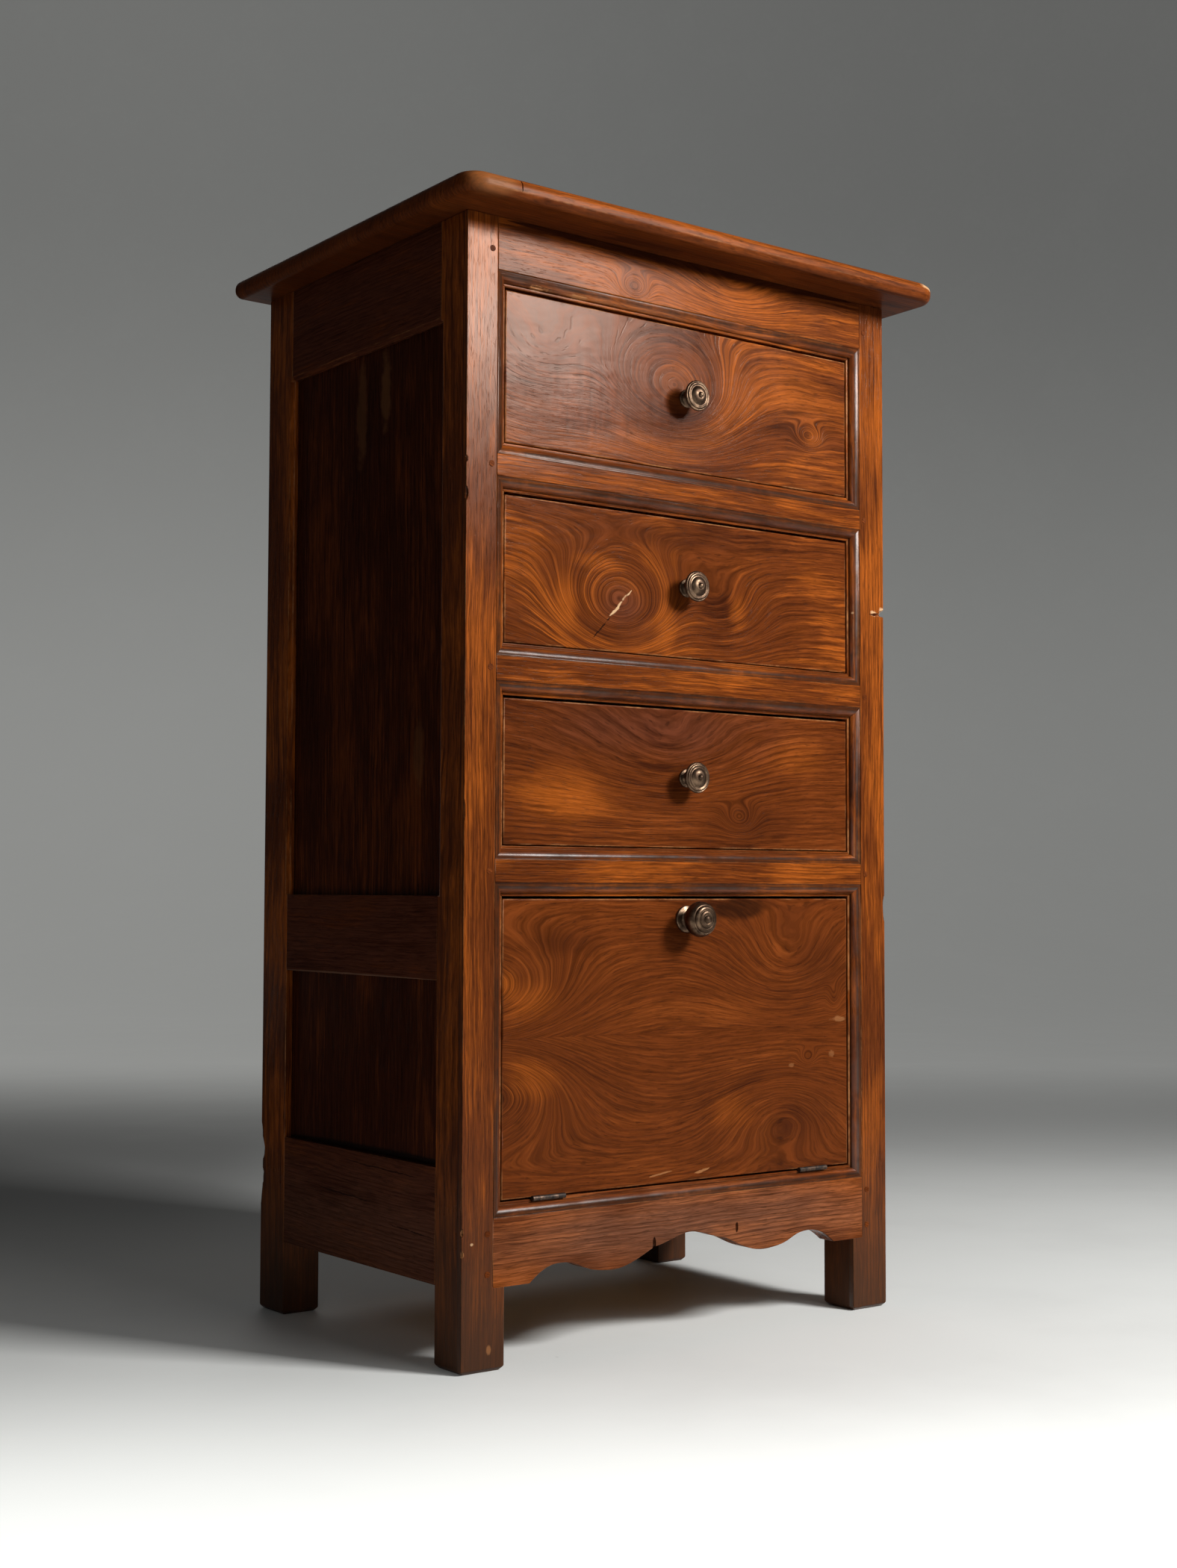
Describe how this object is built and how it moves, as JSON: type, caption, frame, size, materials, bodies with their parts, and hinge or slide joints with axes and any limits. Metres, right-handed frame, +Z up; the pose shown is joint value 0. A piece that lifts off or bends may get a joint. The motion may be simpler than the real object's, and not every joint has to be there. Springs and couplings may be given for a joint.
{
  "type": "bachelors chest",
  "caption": "Tall narrow wooden chest with panelled sides, stacked drawers, a drop-down flap below them on butt hinges, turned brass knobs, moulded openings and a scalloped apron.",
  "frame": {"origin": "on the floor at the middle of the chest's outline seen from above", "axes": "+Z up, -Y out of the front, +X to the right as seen from the front"},
  "size_m": [0.666, 0.495, 1.1925],
  "materials": {
    "case_wood": "waxed, worn",
    "figured_wood": "waxed, strongly figured",
    "lining_wood": "plain, unpolished",
    "peg_wood": "waxed",
    "knob_brass": "aged",
    "hinge_iron": "dark, worn"
  },
  "bodies": {
    "case": {"top_board": "case_wood", "front_left_post": "case_wood", "front_right_post": "case_wood", "back_left_post": "case_wood", "back_right_post": "case_wood", "front_top_rail": "case_wood", "upper_drawer_rail": "case_wood", "middle_drawer_rail": "case_wood", "lower_drawer_rail": "case_wood", "scalloped_apron": "case_wood", "left_top_rail": "case_wood", "left_middle_rail": "case_wood", "left_bottom_rail": "case_wood", "left_upper_panel": "case_wood", "left_lower_panel": "case_wood", "right_top_rail": "case_wood", "right_middle_rail": "case_wood", "right_bottom_rail": "case_wood", "right_upper_panel": "case_wood", "right_lower_panel": "case_wood", "frame_pegs": "peg_wood", "back_top_rail": "lining_wood", "back_bottom_rail": "lining_wood", "back_boards": "lining_wood", "upper_drawer_runners": "lining_wood", "middle_drawer_runners": "lining_wood", "lower_drawer_runners": "lining_wood", "drawer_kickers": "lining_wood", "drawer_stops": "lining_wood", "compartment_floor": "lining_wood", "flap_stops": "lining_wood", "hinge_apron_leaves": "hinge_iron", "hinge_pins": "hinge_iron", "hinge_apron_screws": "hinge_iron"},
    "upper_drawer": {"upper_drawer_front": "figured_wood", "upper_drawer_left_side": "lining_wood", "upper_drawer_right_side": "lining_wood", "upper_drawer_back": "lining_wood", "upper_drawer_bottom": "lining_wood", "upper_drawer_knob": "knob_brass"},
    "middle_drawer": {"middle_drawer_front": "figured_wood", "middle_drawer_left_side": "lining_wood", "middle_drawer_right_side": "lining_wood", "middle_drawer_back": "lining_wood", "middle_drawer_bottom": "lining_wood", "middle_drawer_knob": "knob_brass"},
    "lower_drawer": {"lower_drawer_front": "figured_wood", "lower_drawer_left_side": "lining_wood", "lower_drawer_right_side": "lining_wood", "lower_drawer_back": "lining_wood", "lower_drawer_bottom": "lining_wood", "lower_drawer_knob": "knob_brass"},
    "flap": {"flap_upper_board": "figured_wood", "flap_lower_board": "figured_wood", "flap_knob": "knob_brass", "hinge_flap_leaves": "hinge_iron", "hinge_flap_screws": "hinge_iron"}
  },
  "joints": [
    {"name": "upper_drawer_slide", "type": "slide", "parent": "case", "child": "upper_drawer", "axis": [0, -1, 0], "range_m": [0, 0.3]},
    {"name": "middle_drawer_slide", "type": "slide", "parent": "case", "child": "middle_drawer", "axis": [0, -1, 0], "range_m": [0, 0.3]},
    {"name": "lower_drawer_slide", "type": "slide", "parent": "case", "child": "lower_drawer", "axis": [0, -1, 0], "range_m": [0, 0.3]},
    {"name": "flap_hinge", "type": "hinge", "parent": "case", "child": "flap", "pos_m": [0, -0.1845, 0.16585], "axis": [1, 0, 0], "range_deg": [0, 115]}
  ]
}
